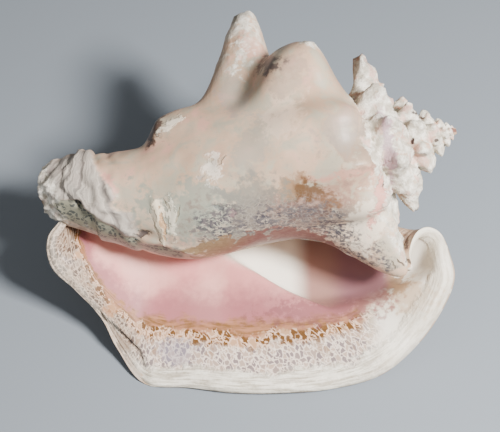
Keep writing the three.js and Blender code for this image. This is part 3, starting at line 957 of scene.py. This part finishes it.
def skin_finish(patch, cells, chalk):
    """The outside: clouded cream with grey and tan, worn white and rough on spire and spines."""
    material, shader, web = finish("weathered skin")
    shader.inputs["Specular IOR Level"].default_value = 0.3
    place_at = web.mouth_place()
    x, _, z = web.split(place_at)
    broad = web.noise(place_at, 26.0, 3.0, 0.5)
    cloud = web.noise(place_at, 11.0, 4.0, 0.55, 0.6)
    fine = web.noise(place_at, 3.0, 4.0, 0.65)
    uneven = web.plus(web.wander(cloud, 0.5), web.wander(fine, 0.35))
    edges = (uneven, web.wander(fine, 0.45))
    shift = web.add("ShaderNodeTexNoise", {"Vector": place_at, "Scale": 0.2, "Detail": 2.0})
    shift = web.vector("SUBTRACT", shift.outputs["Color"], (0.5, 0.5, 0.5))
    wavy = web.vector("ADD", place_at, web.stretched(shift, 6, 6, 6))
    colour = clouded(web, broad, cloud, fine)
    colour, relief = stains_and_shade_with(web, patch, wavy, edges, STAINS_AND_PAINTED_LIGHT, colour)
    colour = speckled_with(web, cells, place_at, fine, uneven, colour)
    brown_edge = web.blend(web.step(x, -18, 4), "846848", "6f463e")
    colour = web.blend(web.times(web.ragged(web.mark("stained"), uneven), 0.9), colour, brown_edge)
    spots = web.group(cells, Place=place_at, Stretch=(0.42, 0.45, 0.42), Line=0.2)
    strip = web.blend(web.step(spots["Fill"], 0.3, 0.55), "87836f", "4f504a")
    colour = web.blend(web.ragged(web.mark("strip"), 0.0), colour, strip)
    # Grey folds fan out over the canal's end
    tip = web.mark("canal_tip")
    fan_at = {"Vector": place_at, "Location": (*FAN_TOP, 0)}
    fan = web.split(web.add("ShaderNodeMapping", fan_at, vector_type="TEXTURE").outputs[0])
    turned = web.times(web.number("ARCTAN2", fan[1], fan[0]), 11.0)
    folds = web.lines(web.plus(turned, web.times(cloud, 4.0)), 1.0, 3.0)
    grey = web.blend(web.step(folds, 0.34, 0.64), "7f7872", "b9afa2")
    colour = web.blend(web.times(tip, 0.9), colour, grey)
    bare = web.group(chalk, Place=place_at)
    chalky = web.mark("chalky")
    rosy = web.times(web.step(web.noise(place_at, 8.0, 3.0), 0.55, 0.66), 0.6)
    worn = web.blend(rosy, bare["Colour"], "d3a394")
    colour = web.blend(web.ragged(chalky, uneven, 0.25, 0.8), colour, worn)
    colour, relief = stains_and_shade_with(web, patch, wavy, edges, SCARS_AND_PIT_SHADE, colour, relief)
    # Growth lines and spiral lines show most on the back
    lines = web.lines(web.mark("growth"), 90.0, 3.0)
    spiral = web.lines(web.mark("across"), 80.0, 2.0)
    bands = web.plus(web.times(lines, 0.6), web.times(spiral, 0.4))
    bands = web.ragged(bands, web.times(uneven, 0.12), 0.42, 0.6)
    banded = web.blend(bands, "d2b79e", "b28c6c")
    back = web.times(web.step(z, 4, -14), web.number("SUBTRACT", 1.0, chalky))
    colour = web.blend(web.times(back, 0.85), colour, banded)
    roughness = web.average(chalky, web.average(back, 0.42, 0.5), 0.88)
    roughness = web.average(tip, roughness, 0.6)
    height = web.times(web.plus(lines, web.times(spiral, 0.8)), web.average(back, 0.05, 0.5))
    height = web.plus(height, web.times(folds, web.times(tip, 0.5)))
    height = web.plus(height, relief)
    height = web.plus(height, web.times(bare["Height"], web.average(chalky, 0.05, 1.0)))
    close(web, shader, colour, roughness, height, 1.1)
    return material


shell = one_piece("conch_shell", [
    last_whorl(WHORL_ROWS, LIP_ROWS, WHORL_COLUMNS), spire(SPIRE_ROWS, SPIRE_COLUMNS), column_rod(),
])
groups = (patch_group(), cell_group(), chalk_group())
for material in (glaze(*groups), skin_finish(*groups)):
    shell.data.materials.append(material)
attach(shell, "root")
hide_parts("shell")


# The floor's half size and colour, the light of the sky, and the lamps: name, place, size and
# power. They are aimed at the shell's lower half.
FLOOR_REACH = 6
FLOOR_COLOUR = "7d8389"
SKY = (0.9, 0.94, 1, 1)
SKY_LIGHT = 0.22
LAMPS = [("key", (0.5, -0.38, 0.72), 0.2, 30), ("fill", (-0.7, -0.7, 0.5), 0.8, 3)]
AIM = Vector((0, 0, 0.05))
# The camera looks straight into the mouth, from this place in its frame
VIEW_FROM = (0, -8.32, 600)
LENS = 83.08
SENSOR = 36


def studio():
    """The floor, the sky and the lamps."""
    bm = bmesh.new()
    bmesh.ops.create_grid(bm, x_segments=1, y_segments=1, size=FLOOR_REACH)
    mesh = bpy.data.meshes.new("floor")
    bm.to_mesh(mesh)
    bm.free()
    floor = bpy.data.objects.new("floor", mesh)
    bpy.context.scene.collection.objects.link(floor)
    paint = bpy.data.materials.new("floor")
    paint.use_nodes = True
    shader = paint.node_tree.nodes["Principled BSDF"]
    shader.inputs["Base Color"].default_value = tint(FLOOR_COLOUR)
    shader.inputs["Roughness"].default_value = 0.8
    mesh.materials.append(paint)
    world = bpy.data.worlds.new("studio")
    world.use_nodes = True
    sky = world.node_tree.nodes["Background"].inputs
    sky["Color"].default_value = SKY
    sky["Strength"].default_value = SKY_LIGHT
    bpy.context.scene.world = world
    for name, place_at, size, power in LAMPS:
        lamp = bpy.data.lights.new(name, "AREA")
        lamp.size = size
        lamp.energy = power
        stand = bpy.data.objects.new(name, lamp)
        stand.location = place_at
        stand.rotation_mode = "QUATERNION"
        stand.rotation_quaternion = (AIM - stand.location).to_track_quat("-Z", "Y")
        bpy.context.scene.collection.objects.link(stand)


def camera():
    view = bpy.data.cameras.new("camera")
    view.lens = LENS
    view.sensor_width = SENSOR
    view.clip_start = 0.01
    stand = bpy.data.objects.new("camera", view)
    stand.location = to_floor(np.array(VIEW_FROM, float)).tolist()
    stand.rotation_euler = (math.radians(LEAN_BACK), 0, 0)
    bpy.context.scene.collection.objects.link(stand)
    bpy.context.scene.camera = stand


studio()
camera()
